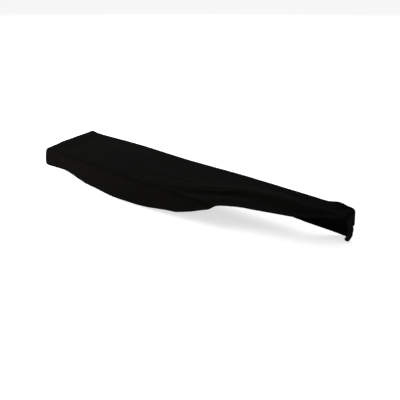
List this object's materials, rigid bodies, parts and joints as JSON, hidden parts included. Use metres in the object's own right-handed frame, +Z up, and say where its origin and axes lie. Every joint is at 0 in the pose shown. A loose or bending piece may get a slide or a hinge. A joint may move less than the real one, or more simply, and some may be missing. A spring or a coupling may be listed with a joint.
{
  "type": "fitted keyboard dust cover",
  "caption": "Long, low fitted dust cover of black stretch cloth, its hem drawn in under the bottom and pulled back over the top at the front right.",
  "frame": {"origin": "under the middle of the cover's top, on its inside face, where what it is put on holds it up", "axes": "+X along the cover to the end where the hem is drawn up, +Y to its back, +Z up"},
  "size_m": [1.2807, 0.2963, 0.1366],
  "materials": {
    "cover_cloth": "matt black, closely knitted stretch cloth"
  },
  "bodies": {
    "root": {"dust_cover": "cover_cloth"}
  },
  "joints": []
}
